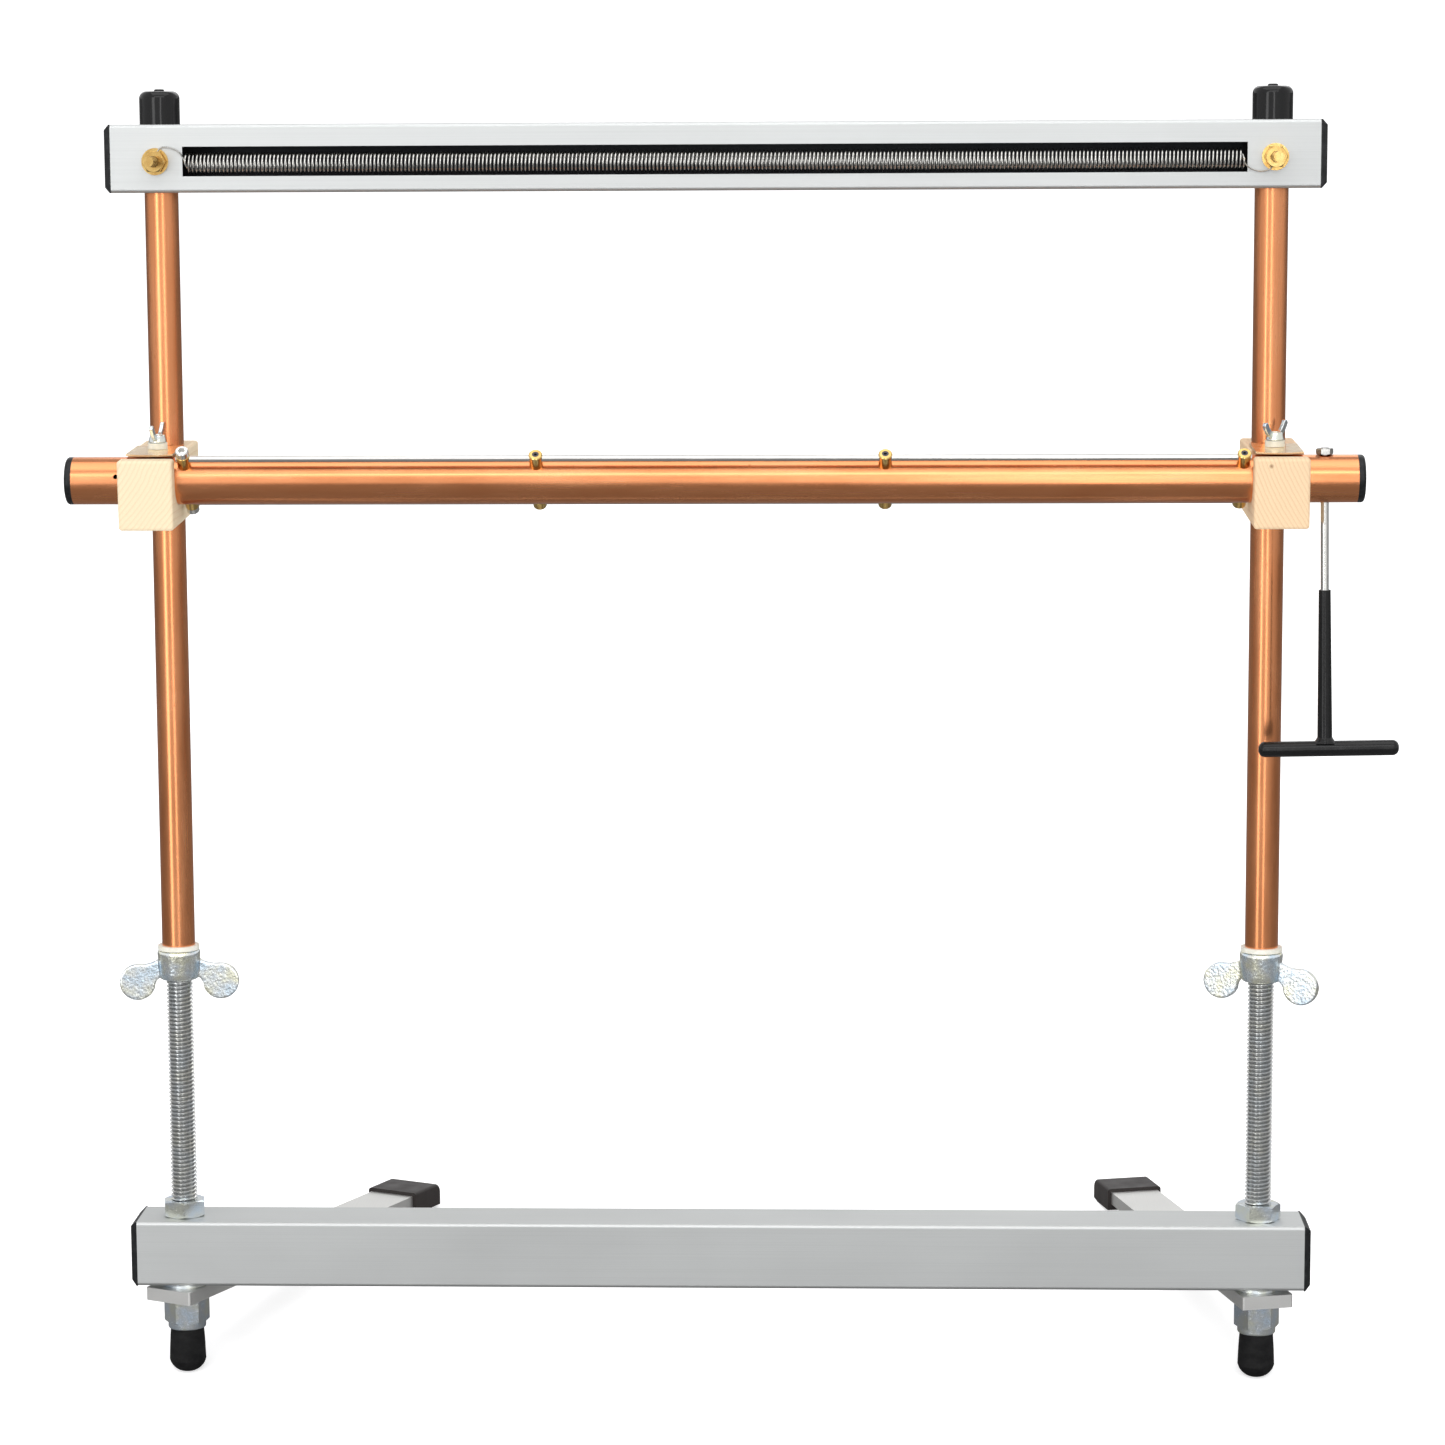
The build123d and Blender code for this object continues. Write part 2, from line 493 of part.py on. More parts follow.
def shed_tube_end_caps():
    """Round plastic plugs with an eased rim."""
    flange = Pos(0, 0, SHED_CAP_THICKNESS / 2) * Cylinder(SHED_TUBE_DIAMETER / 2, SHED_CAP_THICKNESS)
    flange = fillet(flange.edges().group_by(Axis.Z)[-1], 1.6)
    stem = Cylinder(SHED_TUBE_BORE / 2, 10) - Cylinder(SHED_TUBE_BORE / 2 - 2, 10)
    cap = flange + Pos(0, 0, -5) * stem
    places = [
        TUBE_PLACE * Pos(side * SHED_TUBE_LENGTH / 2, 0, 0) * Rot(0, side * 90, 0)
        for side in SIDES.values()
    ]
    return Compound(children=[place * cap for place in places])


def heddle_posts():
    """Brass posts right through the tube, tapped at both ends, drilled for both heddle rods."""
    post = Cylinder(POST_DIAMETER / 2, 2 * POST_HALF_LENGTH)
    post = chamfer(post.edges().filter_by(GeomType.CIRCLE), 0.4)
    for end in (-1, 1):
        post -= Pos(0, 0, end * HEDDLE_ROD_OFFSET) * rod_along_x(HEDDLE_ROD_DIAMETER, 20)
        post -= Pos(0, 0, end * POST_HALF_LENGTH) * Cylinder(POST_TAPPING_RADIUS, 2.6)
    return Compound(children=[post_place(x) * post for x in POST_PLACES])


def heddle_rod(end):
    rod = rod_along_x(HEDDLE_ROD_DIAMETER, HEDDLE_ROD_LENGTH)
    rod = chamfer(rod.edges().filter_by(GeomType.CIRCLE), 0.4)
    return post_place(0) * Pos(0, 0, end * HEDDLE_ROD_OFFSET) * rod


def post_set_screws():
    """Socket set screws inside the ends of every post but the leftmost."""
    socket = Pos(0, 0, 0.3) * extrude(RegularPolygon(0.8, 6), 0.6, both=True)
    screw = Cylinder(POST_TAPPING_RADIUS, 1.2) - socket
    return Compound(children=[
        post_place(x) * Pos(0, 0, end * (POST_HALF_LENGTH - 0.7)) * screw
        for x in POST_PLACES[1:] for end in (-1, 1)
    ])


def post_cap_screws():
    """Socket head screws in both ends of the leftmost post."""
    head = rod_along_z(CAP_SCREW_HEAD_DIAMETER, POST_HALF_LENGTH, POST_HALF_LENGTH + CAP_SCREW_HEAD_HEIGHT)
    head = chamfer(head.edges().group_by(Axis.Z)[-1], 0.4)
    head += rod_along_z(2 * POST_TAPPING_RADIUS, POST_HALF_LENGTH - 1.3, POST_HALF_LENGTH)
    socket = Pos(0, 0, POST_HALF_LENGTH + 1.8) * extrude(RegularPolygon(1.75, 6), 3)
    screw = head - socket
    return Compound(children=[post_place(POST_PLACES[0]) * turn * screw for turn in (Rot(), Rot(180, 0, 0))])


def handle_shaft():
    top = SHED_TUBE_DIAMETER / 2 + HANDLE_NUT_HEIGHT + 0.4
    return handle_place() * rod_along_z(HANDLE_SHAFT_DIAMETER, -GRIP_BAR_CENTRE, top)


def handle_nut():
    nut = hex_nut(HANDLE_NUT_ACROSS_FLATS, HANDLE_NUT_HEIGHT, HANDLE_SHAFT_DIAMETER)
    return handle_place() * Pos(0, 0, SHED_TUBE_DIAMETER / 2 + 0.1) * nut


def handle_grip():
    """Vinyl dipped T: a stem that swells downwards and a round cross bar."""
    stem_top = -GRIP_TOP
    stem_low = -GRIP_BAR_CENTRE + GRIP_BAR_DIAMETER / 2 - 1
    narrow, wide = GRIP_STEM_DIAMETERS
    stem = Pos(0, 0, (stem_top + stem_low) / 2) * Cone(wide / 2, narrow / 2, stem_top - stem_low)
    flare = Pos(0, 0, stem_low + 1.4) * Cone(5.2, 3.4, 2.8)
    bar = rod_along_x(GRIP_BAR_DIAMETER, GRIP_BAR_LENGTH)
    bar = fillet(bar.edges().filter_by(GeomType.CIRCLE), GRIP_BAR_DIAMETER / 2 - 0.6)
    flare &= Pos(0, 0, -GRIP_BAR_CENTRE) * Box(20, GRIP_BAR_DIAMETER - 0.4, 30)
    grip = stem + flare + Pos(GRIP_BAR_SHIFT, 0, -GRIP_BAR_CENTRE) * bar
    grip -= rod_along_z(HANDLE_SHAFT_DIAMETER, -GRIP_BAR_CENTRE, 0)
    return handle_place() * grip


# ---- assembly ----
def build():
    return {
        "bottom_beam": bottom_beam(),
        "bottom_beam_end_plugs": end_plugs(0),
        "threaded_rod_left": threaded_rod("left"),
        "threaded_rod_right": threaded_rod("right"),
        "rod_hex_nuts": rod_hex_nuts(),
        "leg_washers": leg_washers(),
        "lock_nuts": lock_nuts(),
        "lock_nut_inserts": lock_nut_inserts(),
        "rubber_feet": rubber_feet(),
        "leg_left": leg_bar("left"),
        "leg_cap_left": leg_cap("left"),
        "leg_right": leg_bar("right"),
        "leg_cap_right": leg_cap("right"),
        "top_beam": top_beam(),
        "top_beam_end_plugs": end_plugs(BEAM_SPACING),
        "side_pipe_left": side_pipe("left"),
        "side_pipe_right": side_pipe("right"),
        "pipe_caps": pipe_caps(),
        "beam_screws": beam_screws(),
        "beam_screw_nuts": beam_screw_nuts(),
        "beam_screw_washers": beam_screw_washers(),
        "warp_coil": warp_coil(),
        "pipe_washers": pipe_washers(),
        "wing_nut_left": big_wing_nut("left"),
        "wing_nut_right": big_wing_nut("right"),
        "clamp_block_left": clamp_block("left"),
        "clamp_block_right": clamp_block("right"),
        "hold_down_straps": hold_down_straps(),
        "clamp_screws": clamp_screws(),
        "clamp_spacers": clamp_spacers(),
        "clamp_wing_nut_left": clamp_wing_nut("left"),
        "clamp_wing_nut_right": clamp_wing_nut("right"),
        "shed_tube": shed_tube(),
        "shed_tube_end_caps": shed_tube_end_caps(),
        "heddle_posts": heddle_posts(),
        "heddle_rod_upper": heddle_rod(1),
        "heddle_rod_lower": heddle_rod(-1),
        "post_set_screws": post_set_screws(),
        "post_cap_screws": post_cap_screws(),
        "handle_shaft": handle_shaft(),
        "handle_nut": handle_nut(),
        "handle_grip": handle_grip(),
    }


def stand_on_floor(pieces):
    """Lean the loom back, flatten feet and leg caps on the floor, centre it over the origin."""
    lean = Pos(0, 0, FLOOR_DROP) * Rot(-LEAN_BACK, 0, 0)
    leaned = {name: lean * piece for name, piece in pieces.items()}
    below_floor = Pos(0, 0, -50) * Box(1000, 1000, 100)
    leaned["rubber_feet"] = Compound(children=[
        foot - below_floor for foot in leaned["rubber_feet"].solids()
    ])
    for side in SIDES:
        leaned[f"leg_cap_{side}"] -= below_floor
    whole = Compound(children=[Compound(piece.solids()) for piece in leaned.values()]).bounding_box()
    centre = Pos(-whole.center().X, -whole.center().Y, 0)
    print("centre shift", -whole.center().X, -whole.center().Y, "lowest", whole.min.Z)
    return {name: centre * piece for name, piece in leaned.items()}


os.makedirs("parts", exist_ok=True)
for node, shape in stand_on_floor(build()).items():
    export_step(shape, f"parts/{node}.step")
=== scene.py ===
import json
import math

import bmesh
import bpy
from mathutils import Matrix, Vector, noise


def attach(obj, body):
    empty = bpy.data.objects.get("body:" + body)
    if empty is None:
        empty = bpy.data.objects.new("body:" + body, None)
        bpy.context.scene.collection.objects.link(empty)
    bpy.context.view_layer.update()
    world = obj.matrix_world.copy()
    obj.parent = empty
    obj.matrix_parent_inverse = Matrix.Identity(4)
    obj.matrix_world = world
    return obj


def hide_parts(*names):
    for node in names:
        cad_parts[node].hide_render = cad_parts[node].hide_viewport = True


# The looks of the tabletop tapestry loom. Detail pieces are worked out in the loom's own axes
# (X to the right, Y to the back, Z up along the side pipes, millimetres from the middle of the
# bottom beam) and then leaned back into the row frame.

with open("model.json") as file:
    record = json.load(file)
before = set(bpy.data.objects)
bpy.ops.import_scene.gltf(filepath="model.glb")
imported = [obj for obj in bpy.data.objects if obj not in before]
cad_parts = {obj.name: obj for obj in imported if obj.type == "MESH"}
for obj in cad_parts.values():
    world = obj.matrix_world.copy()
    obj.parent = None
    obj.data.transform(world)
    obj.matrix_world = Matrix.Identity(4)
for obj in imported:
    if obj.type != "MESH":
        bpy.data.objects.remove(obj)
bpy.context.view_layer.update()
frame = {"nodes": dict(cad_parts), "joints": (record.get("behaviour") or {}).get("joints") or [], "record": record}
NODES = frame["nodes"]
JOINTS = {joint["name"]: joint for joint in frame["joints"]}
BODY_OF = {node: body for body, nodes in frame["record"]["behaviour"]["bodies"].items() for node in nodes}
MM = 0.001
SIDES = {"left": -1, "right": 1}


# ---- the loom's own axes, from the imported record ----
def loom_axes():
    """Matrix from loom millimetres to row metres."""
    up = Vector(JOINTS["frame_lift"]["axis"]).normalized()
    right = Vector((1, 0, 0))
    turn = Matrix((right, up.cross(right), up)).transposed()
    beam = [turn.inverted() @ vertex.co for vertex in NODES["bottom_beam"].data.vertices]
    middle = [(min(p[i] for p in beam) + max(p[i] for p in beam)) / 2 for i in range(3)]
    return Matrix.Translation(turn @ Vector(middle)) @ turn.to_4x4() @ Matrix.Scale(MM, 4)


LOOM = loom_axes()
TO_LOOM = LOOM.inverted()


def extent(node, side=0):
    """Lowest and highest corner of a CAD node in the loom's axes; side -1 or 1 keeps one half."""
    points = [TO_LOOM @ vertex.co for vertex in NODES[node].data.vertices]
    points = [p for p in points if p.x * side >= 0]
    low = Vector([min(p[i] for p in points) for i in range(3)])
    high = Vector([max(p[i] for p in points) for i in range(3)])
    return low, high


# ---- mesh helpers, all in loom millimetres ----
def loops_to_faces(rings, size, closed):
    """Quads between successive rings of `size` points; closed joins each ring's end to its start."""
    around = size if closed else size - 1
    faces = []
    for i in range(rings - 1):
        for j in range(around):
            k = (j + 1) % size
            faces.append((i * size + j, i * size + k, (i + 1) * size + k, (i + 1) * size + j))
    return faces


def wire(path, radius, sides):
    """A round wire along a path, with flat ends."""
    points = [Vector(p) for p in path]
    across = None
    vertices = []
    for i, point in enumerate(points):
        ahead = (points[min(i + 1, len(points) - 1)] - points[max(i - 1, 0)]).normalized()
        if across is None:
            across = ahead.orthogonal().normalized()
        across = (across - ahead * across.dot(ahead)).normalized()
        other = ahead.cross(across)
        for j in range(sides):
            angle = math.tau * j / sides
            vertices.append(point + radius * (math.cos(angle) * across + math.sin(angle) * other))
    faces = loops_to_faces(len(points), sides, True)
    faces.append(tuple(reversed(range(sides))))
    faces.append(tuple(range(len(vertices) - sides, len(vertices))))
    return vertices, faces


def lathe(profile, steps):
    """A closed profile of (radius, height) points turned about Z."""
    vertices = []
    for i in range(steps):
        angle = math.tau * i / steps
        vertices += [Vector((r * math.cos(angle), r * math.sin(angle), h)) for r, h in profile]
    size = len(profile)
    faces = []
    for i in range(steps):
        for j in range(size):
            k = (j + 1) % size
            n = (i + 1) % steps
            faces.append((i * size + j, n * size + j, n * size + k, i * size + k))
    return vertices, faces


THREAD_DEPTH = 0.50            # root to crest, as a share of the pitch


def thread(diameter, pitch, low, high, steps):
    """A real single-start screw thread along Z, with flat crests and roots and bevelled ends."""
    crest = diameter / 2
    root = crest - THREAD_DEPTH * pitch
    profile = ((0.0, root), (0.08, root), (0.40, crest), (0.56, crest), (0.88, root), (1.0, root))
    turns = math.ceil((high - low) / pitch) + 1
    vertices = []
    for i in range(turns * steps + 1):
        angle = math.tau * i / steps
        for share, radius in profile:
            z = low + pitch * (i / steps + share - 1)
            bevel = root + max(0.0, min(z - low, high - z))
            radius = min(radius, bevel)
            z = min(max(z, low), high)
            vertices.append(Vector((radius * math.cos(angle), radius * math.sin(angle), z)))
    faces = loops_to_faces(turns * steps + 1, len(profile), False)
    for z in (low, high):
        start = len(vertices)
        angles = [math.tau * j / steps for j in range(steps)]
        vertices += [Vector((root * math.cos(angle), root * math.sin(angle), z)) for angle in angles]
        faces.append(tuple(range(start, start + steps)))
    return vertices, faces


def slab(outline, half_thickness):
    """A closed outline of (x, z) points given thickness along Y."""
    size = len(outline)
    vertices = [Vector((x, -half_thickness, z)) for x, z in outline]
    vertices += [Vector((x, half_thickness, z)) for x, z in outline]
    faces = loops_to_faces(2, size, True)
    faces += [tuple(reversed(range(size))), tuple(range(size, 2 * size))]
    return vertices, faces


def bend(start, control, end, count):
    """Points of a quadratic curve, without its first point."""
    points = []
    for i in range(1, count + 1):
        t = i / count
        points.append(tuple(
            (1 - t) ** 2 * a + 2 * t * (1 - t) * b + t * t * c for a, b, c in zip(start, control, end)
        ))
    return points


def smooth_path(points, per_span):
    """A path through the points, rounded as a Catmull-Rom curve."""
    points = [Vector(p) for p in points]
    padded = [2 * points[0] - points[1], *points, 2 * points[-1] - points[-2]]
    path = []
    for a, b, c, d in zip(padded, padded[1:], padded[2:], padded[3:]):
        for i in range(per_span):
            t = i / per_span
            path.append(0.5 * (
                2 * b + (c - a) * t + (2 * a - 5 * b + 4 * c - d) * t * t + (3 * b - a - 3 * c + d) * t ** 3
            ))
    return path + [points[-1]]


def joined(*shapes):
    """Several (vertices, faces) shapes as one."""
    vertices, faces = [], []
    for more_vertices, more_faces in shapes:
        start = len(vertices)
        vertices += more_vertices
        faces += [tuple(start + i for i in face) for face in more_faces]
    return vertices, faces


def placed(shape, matrix):
    """A shape moved by a matrix."""
    vertices, faces = shape
    return [matrix @ vertex for vertex in vertices], faces


def piece(name, shape, node, material, sharp, voxel=None, roughen=None):
    """A mesh in loom millimetres that rides on its CAD node's body and stands for it. Edges over
    sharp degrees stay crisp, voxel melts overlapping shapes together, and roughen works the skin."""
    vertices, faces = shape
    mesh = bpy.data.meshes.new(name)
    mesh.from_pydata([tuple(v) for v in vertices], [], faces)
    shaped = bmesh.new()
    shaped.from_mesh(mesh)
    bmesh.ops.remove_doubles(shaped, verts=shaped.verts, dist=0.0005)
    bmesh.ops.dissolve_degenerate(shaped, edges=shaped.edges, dist=0.0005)
    bmesh.ops.recalc_face_normals(shaped, faces=shaped.faces)
    shaped.to_mesh(mesh)
    shaped.free()
    made = bpy.data.objects.new(name, mesh)
    bpy.context.scene.collection.objects.link(made)
    if voxel:
        mesh = remeshed(made, voxel)
    if roughen:
        roughen(mesh)
    mesh.transform(LOOM)
    mesh.set_sharp_from_angle(angle=math.radians(sharp))
    mesh.polygons.foreach_set("use_smooth", [True] * len(mesh.polygons))
    mesh.materials.append(material)
    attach(made, BODY_OF[node])
    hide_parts(node)


def remeshed(made, voxel):
    """Overlapping closed shapes become one even skin, softened at its edges."""
    union = made.modifiers.new("union", "REMESH")
    union.mode = "VOXEL"
    union.voxel_size = voxel
    soften = made.modifiers.new("soften", "SMOOTH")
    soften.factor = 0.5
    soften.iterations = 4
    bpy.context.view_layer.update()
    result = bpy.data.meshes.new_from_object(made.evaluated_get(bpy.context.evaluated_depsgraph_get()))
    made.modifiers.clear()
    made.data = result
    return result


# ---- material helpers ----
def new_material(name):
    material = bpy.data.materials.new(name)
    material.use_nodes = True
    return material, material.node_tree, material.node_tree.nodes["Principled BSDF"]


def add(tree, kind, inputs, output=0, **settings):
    """A node with its settings; each input is a number, a colour or another node's socket."""
    made = tree.nodes.new(kind)
    for key, value in settings.items():
        setattr(made, key, value)
    for key, value in inputs.items():
        if isinstance(value, bpy.types.NodeSocket):
            tree.links.new(value, made.inputs[key])
        else:
            made.inputs[key].default_value = value
    return made.outputs[output]


def place_in_loom(tree, scale=(1, 1, 1)):
    """Surface place in loom millimetres, then stretched by scale."""
    here = add(tree, "ShaderNodeTexCoord", {}, "Object")
    turn = TO_LOOM.to_3x3().normalized().to_euler()
    loom = add(tree, "ShaderNodeMapping", {
        "Vector": here, "Location": TO_LOOM.translation, "Rotation": turn, "Scale": (1 / MM,) * 3,
    })
    return add(tree, "ShaderNodeMapping", {"Vector": loom, "Scale": scale})


def grain(tree, scale, detail=3.0, roughness=0.5, distortion=0.0):
    """Noise from 0 to 1 whose cells have the given number of cycles a millimetre on each axis."""
    return add(tree, "ShaderNodeTexNoise", {
        "Vector": place_in_loom(tree, scale), "Scale": 1.0, "Detail": detail,
        "Roughness": roughness, "Distortion": distortion,
    }, "Fac")


def ramp(tree, factor, stops):
    """Colour ramp; stops are (place, colour)."""
    made = tree.nodes.new("ShaderNodeValToRGB")
    tree.links.new(factor, made.inputs["Fac"])
    elements = made.color_ramp.elements
    while len(elements) < len(stops):
        elements.new(0.5)
    for element, (place, colour) in zip(elements, stops):
        element.position = place
        element.color = (*colour, 1)
    return made.outputs["Color"]


def spread(tree, factor, low, high, start=0.0, end=1.0):
    """Factor from start to end stretched to low to high."""
    return add(tree, "ShaderNodeMapRange", {
        "Value": factor, "From Min": start, "From Max": end, "To Min": low, "To Max": high,
    })


def bump(tree, height, distance, strength=1.0, normal=None):
    """Distance is the height of a full step, in millimetres."""
    inputs = {"Height": height, "Distance": distance * MM, "Strength": strength}
    if normal is not None:
        inputs["Normal"] = normal
    return add(tree, "ShaderNodeBump", inputs)


def mixed(tree, factor, first, second):
    """First colour at factor 0, second at 1; each is a colour or a socket."""
    made = tree.nodes.new("ShaderNodeMix")
    made.data_type = "RGBA"
    for socket, value in (("Factor", factor), (6, first), (7, second)):
        if isinstance(value, bpy.types.NodeSocket):
            tree.links.new(value, made.inputs[socket])
        else:
            made.inputs[socket].default_value = value if socket == "Factor" else (*value, 1)
    return made.outputs[2]


def finish_metal(tree, shader, colour, roughness, normal):
    shader.inputs["Metallic"].default_value = 1.0
    tree.links.new(colour, shader.inputs["Base Color"])
    tree.links.new(roughness, shader.inputs["Roughness"])
    tree.links.new(normal, shader.inputs["Normal"])


# ---- metals ----
def drawn_copper(name, along):
    """Polished copper tube: draw lines along it, a little uneven shine and a few dull specks."""
    material, tree, shader = new_material(name)
    lines = grain(tree, [0.012 if axis == along else 3.0 for axis in "XYZ"], 2.0, 0.6)
    patches = grain(tree, [0.02 if axis == along else 0.12 for axis in "XYZ"], 3.0, 0.6)
    specks = grain(tree, [0.25 if axis == along else 0.9 for axis in "XYZ"], 2.0, 0.5)
    tone = ramp(tree, patches, [(0.3, (0.76, 0.285, 0.118)), (0.7, (0.86, 0.36, 0.165))])
    lined = mixed(tree, spread(tree, lines, 0.0, 0.35, 0.45, 0.75), tone, (0.62, 0.22, 0.085))
    dulled = mixed(tree, spread(tree, specks, 0.0, 0.5, 0.70, 0.80), lined, (0.36, 0.12, 0.05))
    rough = add(tree, "ShaderNodeMath", {
        0: spread(tree, patches, 0.20, 0.28, 0.3, 0.7), 1: spread(tree, lines, -0.03, 0.05),
    }, operation="ADD")
    finish_metal(tree, shader, dulled, rough, bump(tree, lines, 0.006))
    return material


def satin_aluminium(name, along, bright, coarse, tubes=(), skin=0.0):
    """Extruded aluminium: fine lines along the bar, soft cloudy sheen, faint handling marks.
    Square tubes whose axes run along X at the heights in tubes get painted shade: they are coloured near black
    inside their skin."""
    material, tree, shader = new_material(name)
    lines = grain(tree, [0.006 if axis == along else 4.0 * coarse for axis in "XYZ"], 3.0, 0.65)
    clouds = grain(tree, (0.012, 0.03, 0.03), 2.0, 0.5)
    marks = grain(tree, (0.12, 0.5, 0.5), 4.0, 0.7, 0.6)
    tone = ramp(tree, clouds, [(0.3, [c * 0.95 for c in bright]), (0.7, bright)])
    lined = mixed(tree, spread(tree, lines, 0.0, 0.25, 0.45, 0.8), tone, [c * 0.72 for c in bright])
    marked = mixed(tree, spread(tree, marks, 0.0, 0.25, 0.66, 0.78), lined, [c * 0.8 for c in bright])
    rough = add(tree, "ShaderNodeMath", {
        0: spread(tree, clouds, 0.46, 0.54, 0.3, 0.7), 1: spread(tree, lines, -0.05, 0.05),
    }, operation="ADD")
    for height in tubes:
        # painted shade: the hollow inside of each beam tube is coloured near black
        marked = mixed(tree, painted_shade_in_tube(tree, height, skin), marked, (0.03, 0.032, 0.035))
    finish_metal(tree, shader, marked, rough, bump(tree, lines, 0.006 * coarse))
    return material


def painted_shade_in_tube(tree, height, skin):
    """1 within skin of a line along X at the given height, across the tube's square section; this marks where the
    painted shade inside a tube goes.
    """
    split = tree.nodes.new("ShaderNodeSeparateXYZ")
    tree.links.new(place_in_loom(tree), split.inputs[0])
    across = add(tree, "ShaderNodeMath", {0: split.outputs["Y"]}, operation="ABSOLUTE")
    level = add(tree, "ShaderNodeMath", {0: split.outputs["Z"], 1: height}, operation="SUBTRACT")
    up = add(tree, "ShaderNodeMath", {0: level}, operation="ABSOLUTE")
    farther = add(tree, "ShaderNodeMath", {0: across, 1: up}, operation="MAXIMUM")
    return add(tree, "ShaderNodeMath", {0: farther, 1: skin}, operation="LESS_THAN")


def rod_radius(tree):
    """Distance from the nearer pipe axis."""
    split = tree.nodes.new("ShaderNodeSeparateXYZ")
    tree.links.new(place_in_loom(tree), split.inputs[0])
    side = add(tree, "ShaderNodeMath", {0: split.outputs["X"]}, operation="ABSOLUTE")
    across = add(tree, "ShaderNodeMath", {0: side, 1: PIPE_X}, operation="SUBTRACT")
    flat = add(tree, "ShaderNodeCombineXYZ", {"X": across, "Y": split.outputs["Y"]})
    return add(tree, "ShaderNodeVectorMath", {0: flat}, "Value", operation="LENGTH")


def bright_zinc(name, pebble, tint, bloomed, flank=None):
    """Zinc plate: cool silver with a blue and straw-yellow bloom, over the casting's or tool's marks.
    A thread about a pipe's axis carries painted shade, darker towards its root: flank is the root's and the
    crest's radius."""
    material, tree, shader = new_material(name)
    bloom = grain(tree, (0.13, 0.13, 0.13), 2.0, 0.5)
    pebbles = grain(tree, (0.9, 0.9, 0.9), 4.0, 0.62)
    blue, straw = (0.88, 0.98, 1.10), (1.08, 1.03, 0.84)
    tone = ramp(tree, bloom, [
        (0.34, [a * (1 + bloomed * (b - 1)) for a, b in zip(tint, blue)]),
        (0.50, tint),
        (0.66, [a * (1 + bloomed * (b - 1)) for a, b in zip(tint, straw)]),
    ])
    pitted = mixed(tree, spread(tree, pebbles, 0.0, 0.5 * pebble, 0.55, 0.75), tone, (0.30, 0.31, 0.31))
    if flank is not None:
        # painted shade: the thread is coloured darker towards its root, where shade falls
        painted_root_shade = spread(tree, rod_radius(tree), 0.75, 0.0, *flank)
        pitted = mixed(tree, painted_root_shade, pitted, (0.34, 0.35, 0.35))
    rough = spread(tree, pebbles, 0.16 + 0.06 * pebble, 0.28 + 0.14 * pebble, 0.3, 0.7)
    finish_metal(tree, shader, pitted, rough, bump(tree, pebbles, 0.02 + 0.16 * pebble))
    return material


SCREW_FLANK = 0.4              # half the beam screws' pitch


def turned_brass(name, threaded_before=None):
    """Brass with turning rings and a slightly browned skin; a fine thread runs along Y in front of
    the given place, and its grooves carry painted shade."""
    material, tree, shader = new_material(name)
    rings = grain(tree, (2.5, 2.5, 2.5), 2.0, 0.6)
    age = grain(tree, (0.2, 0.2, 0.2), 3.0, 0.6)
    tone = ramp(tree, age, [
        (0.3, (0.55, 0.33, 0.10)), (0.6, (0.71, 0.49, 0.18)), (0.8, (0.80, 0.60, 0.27)),
    ])
    rough = spread(tree, rings, 0.10, 0.22, 0.3, 0.7)
    normal = bump(tree, rings, 0.01)
    if threaded_before is not None:
        split = tree.nodes.new("ShaderNodeSeparateXYZ")
        tree.links.new(place_in_loom(tree), split.inputs[0])
        depth = split.outputs["Y"]
        in_front = add(tree, "ShaderNodeMath", {0: depth, 1: threaded_before}, operation="LESS_THAN")
        wave = add(tree, "ShaderNodeMath", {0: depth, 1: SCREW_FLANK}, operation="PINGPONG")
        groove = add(tree, "ShaderNodeMath", {0: wave, 1: 1 / SCREW_FLANK}, operation="MULTIPLY")
        grooved = add(tree, "ShaderNodeMath", {0: groove, 1: in_front}, operation="MULTIPLY")
        # painted shade: the thread's grooves are coloured dark brown
        tone = mixed(tree, spread(tree, grooved, 0.0, 0.75, 0.5, 1.0), tone, (0.16, 0.09, 0.03))
        normal = bump(tree, grooved, -0.25, 1.0, normal)
    finish_metal(tree, shader, tone, rough, normal)
    return material


def sprung_copper(name):
    """Thin bright spring strip, rolled smooth, with fine cross scratches."""
    material, tree, shader = new_material(name)
    scratches = grain(tree, (0.06, 5.0, 5.0), 2.0, 0.6)
    age = grain(tree, (0.15, 0.15, 0.15), 2.0, 0.5)
    tone = ramp(tree, age, [(0.3, (0.90, 0.66, 0.38)), (0.7, (0.96, 0.80, 0.54))])
    rough = spread(tree, scratches, 0.16, 0.30, 0.3, 0.7)
    finish_metal(tree, shader, tone, rough, bump(tree, scratches, 0.003))
    return material


def drawn_steel(name, colour, rough_low, rough_high):
    """Bright wire and rod, drawn along its length, with a faint warm cast."""
    material, tree, shader = new_material(name)
    lines = grain(tree, (0.05, 3.5, 0.6), 2.0, 0.6)
    cast = grain(tree, (0.05, 0.05, 0.05), 2.0, 0.5)
    tone = ramp(tree, cast, [(0.3, [c * 0.86 for c in colour]), (0.7, colour)])
    rough = spread(tree, lines, rough_low, rough_high, 0.3, 0.7)
    finish_metal(tree, shader, tone, rough, bump(tree, lines, 0.004))
    return material


